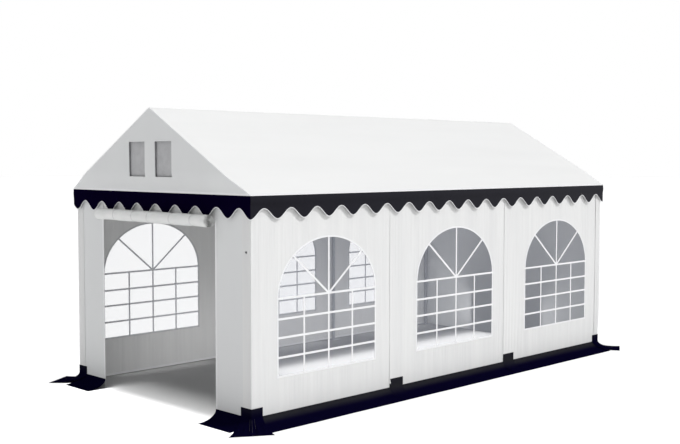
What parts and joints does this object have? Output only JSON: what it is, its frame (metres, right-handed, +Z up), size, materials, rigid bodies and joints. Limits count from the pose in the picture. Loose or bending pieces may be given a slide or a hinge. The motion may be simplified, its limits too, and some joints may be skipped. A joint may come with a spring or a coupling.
{
  "type": "frame marquee tent",
  "caption": "Frame marquee with pitched roof, scalloped valance, arched side windows, ground skirts and a rolled-up front door, on a steel tube frame.",
  "frame": {"origin": "on the ground, at the middle of the footprint", "axes": "+Z up, +Y along the ridge away from the open door, +X towards the right-hand long side"},
  "size_m": [3.6402, 6.6702, 3.0299],
  "materials": {
    "roof_white": "smooth white PVC-coated fabric, satin",
    "wall_white": "white PVC-coated fabric with fine upright creases, satin",
    "trim_black": "black PVC-coated fabric, satin",
    "window_film": "clear flexible PVC film",
    "vent_mesh": "fine grey mesh",
    "frame_steel": "galvanised, dull"
  },
  "bodies": {
    "root": {"post_right_1": "frame_steel", "post_right_2": "frame_steel", "post_right_3": "frame_steel", "post_right_4": "frame_steel", "post_left_1": "frame_steel", "post_left_2": "frame_steel", "post_left_3": "frame_steel", "post_left_4": "frame_steel", "rafter_right_1": "frame_steel", "rafter_right_2": "frame_steel", "rafter_right_3": "frame_steel", "rafter_right_4": "frame_steel", "rafter_left_1": "frame_steel", "rafter_left_2": "frame_steel", "rafter_left_3": "frame_steel", "rafter_left_4": "frame_steel", "eave_rail_right": "frame_steel", "eave_rail_left": "frame_steel", "ridge_rail": "frame_steel", "gable_bar_front": "frame_steel", "gable_bar_back": "frame_steel", "roof_right": "roof_white", "roof_left": "roof_white", "gable_front": "wall_white", "vent_screen_front": "vent_mesh", "gable_back": "wall_white", "vent_screen_back": "vent_mesh", "valance_front": "trim_black", "valance_back": "trim_black", "valance_right": "trim_black", "valance_left": "trim_black", "side_wall_right_1": "wall_white", "window_right_1": "window_film", "side_wall_right_2": "wall_white", "window_right_2": "window_film", "side_wall_right_3": "wall_white", "window_right_3": "window_film", "side_wall_left_1": "wall_white", "window_left_1": "window_film", "side_wall_left_2": "wall_white", "window_left_2": "window_film", "side_wall_left_3": "wall_white", "window_left_3": "window_film", "front_wall_right": "wall_white", "front_wall_left": "wall_white", "back_wall": "wall_white", "door_roll": "wall_white", "skirt_right": "trim_black", "skirt_left": "trim_black", "skirt_front_right": "trim_black", "skirt_front_left": "trim_black", "skirt_back": "trim_black", "corner_patch_front_right": "trim_black", "corner_patch_front_left": "trim_black", "corner_patch_back_right": "trim_black", "corner_patch_back_left": "trim_black"}
  },
  "joints": []
}
